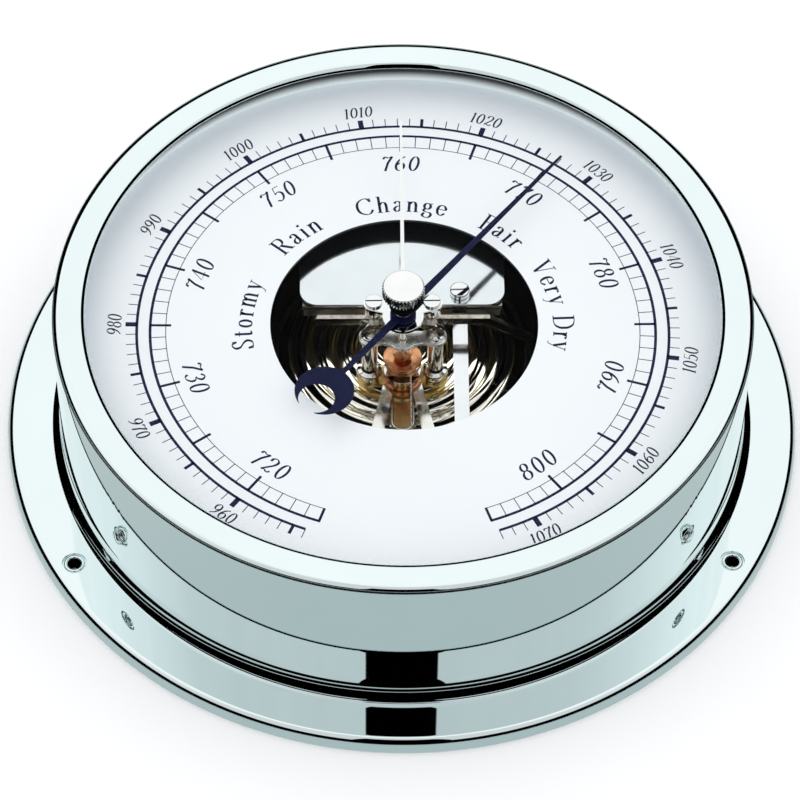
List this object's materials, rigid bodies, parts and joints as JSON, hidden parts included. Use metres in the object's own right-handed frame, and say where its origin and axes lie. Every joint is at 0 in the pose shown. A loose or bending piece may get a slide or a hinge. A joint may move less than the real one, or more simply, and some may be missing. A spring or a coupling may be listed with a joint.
{
  "type": "aneroid barometer",
  "caption": "Round flanged ship's-pattern aneroid barometer: drum case, open dial over a capsule movement, pressure pointer and knob-set reference hand.",
  "frame": {"origin": "centre of the flange's back face", "axes": "+Z is the dial's outward normal, +Y points to twelve o'clock, +X to three o'clock"},
  "size_m": [0.15, 0.15, 0.0412],
  "materials": {
    "chrome_case": "polished chromium plate on turned brass",
    "nickel": "bright nickel plate",
    "spring_steel": "satin rolled spring steel",
    "copper": "polished copper bronze",
    "brass": "turned brass",
    "blued_steel": "blue-black enamel on thin steel",
    "dial_white": "matt white enamel with printed scales",
    "black_paint": "satin black",
    "rubber": "matt",
    "glass": "clear flat"
  },
  "bodies": {
    "case": {"case_shell": "chrome_case", "bezel_ring": "chrome_case", "glass": "glass", "glass_gasket": "rubber", "dial_ring": "dial_white", "dial": "dial_white", "rear_cover": "black_paint", "case_screw_1": "chrome_case", "case_screw_2": "chrome_case", "case_screw_3": "chrome_case", "base_plate": "black_paint", "base_spacer_1": "brass", "base_spacer_2": "brass", "base_spacer_3": "brass", "base_screw_1": "nickel", "base_screw_2": "nickel", "base_screw_3": "nickel", "capsule_lower": "nickel", "capsule_upper": "nickel", "spring_block": "brass", "spring_clamp": "nickel", "clamp_screw_1": "nickel", "clamp_screw_2": "nickel", "rocker_bracket": "nickel", "guard_wire": "nickel", "carrier_tongue": "brass", "foot_bearing": "copper", "pillar_left": "nickel", "pillar_right": "nickel", "lower_bridge": "nickel", "lower_bridge_screw_left": "nickel", "lower_bridge_screw_right": "nickel", "cross_arm": "nickel", "bridge_post_left": "nickel", "bridge_post_right": "nickel", "upper_bridge": "nickel", "upper_bridge_screw_left": "nickel", "upper_bridge_screw_right": "nickel", "hairspring": "copper", "knob_washer": "black_paint"},
    "pointer_arbor": {"arbor": "nickel", "chain_drum": "copper", "pointer_hub": "blued_steel", "pointer": "blued_steel"},
    "main_spring": {"spring_leaf": "spring_steel", "lower_leaf": "nickel", "front_bar": "nickel", "bar_spacer": "nickel", "lever": "spring_steel", "lever_screw": "nickel"},
    "capsule_centre": {"capsule_boss": "nickel", "capsule_stud": "nickel"},
    "lever_link": {"link": "nickel"},
    "rocker": {"rocking_shaft": "nickel", "rocker_arm": "nickel", "crank": "nickel"},
    "arbor_chain": {"chain": "spring_steel"},
    "reference_hand": {"set_hand": "nickel", "knob": "nickel"},
    "zero_adjuster": {"adjusting_screw": "brass"}
  },
  "joints": [
    {"name": "pointer_turn", "type": "hinge", "parent": "case", "child": "pointer_arbor", "pos_m": [0, 0, 0.0333], "axis": [0, 0, -1], "range_deg": [-199.5, 122.1]},
    {"name": "rocker_turn", "type": "hinge", "parent": "case", "child": "rocker", "pos_m": [0, -0.0253, 0.0112], "axis": [1, 0, 0], "range_deg": [-25.6, 15.8]},
    {"name": "spring_flex", "type": "hinge", "parent": "case", "child": "main_spring", "pos_m": [0, 0.038, 0.0254], "axis": [1, 0, 0], "range_deg": [-0.99, 0.61]},
    {"name": "capsule_slide", "type": "slide", "parent": "case", "child": "capsule_centre", "axis": [0, 0, -1], "range_m": [-0.00051, 0.00032]},
    {"name": "link_slide", "type": "slide", "parent": "case", "child": "lever_link", "axis": [0, 0, -1], "range_m": [-0.00117, 0.00072]},
    {"name": "chain_slide", "type": "slide", "parent": "case", "child": "arbor_chain", "axis": [0, -1, 0], "range_m": [-0.0043, 0.0026]},
    {"name": "set_hand_turn", "type": "hinge", "parent": "case", "child": "reference_hand", "pos_m": [0, 0, 0.034], "axis": [0, 0, -1], "continuous": true},
    {"name": "adjuster_turn", "type": "hinge", "parent": "case", "child": "zero_adjuster", "pos_m": [0, 0.038, 0.0034], "axis": [0, 0, -1], "range_deg": [-360, 360]}
  ],
  "couplings": [
    {"joint": "pointer_turn", "follows": "spring_flex", "ratio": 200.66},
    {"joint": "rocker_turn", "follows": "spring_flex", "ratio": 25.346},
    {"joint": "capsule_slide", "follows": "spring_flex", "m_per_rad": 0.0285},
    {"joint": "link_slide", "follows": "spring_flex", "m_per_rad": 0.0659},
    {"joint": "chain_slide", "follows": "spring_flex", "m_per_rad": 0.24079}
  ]
}
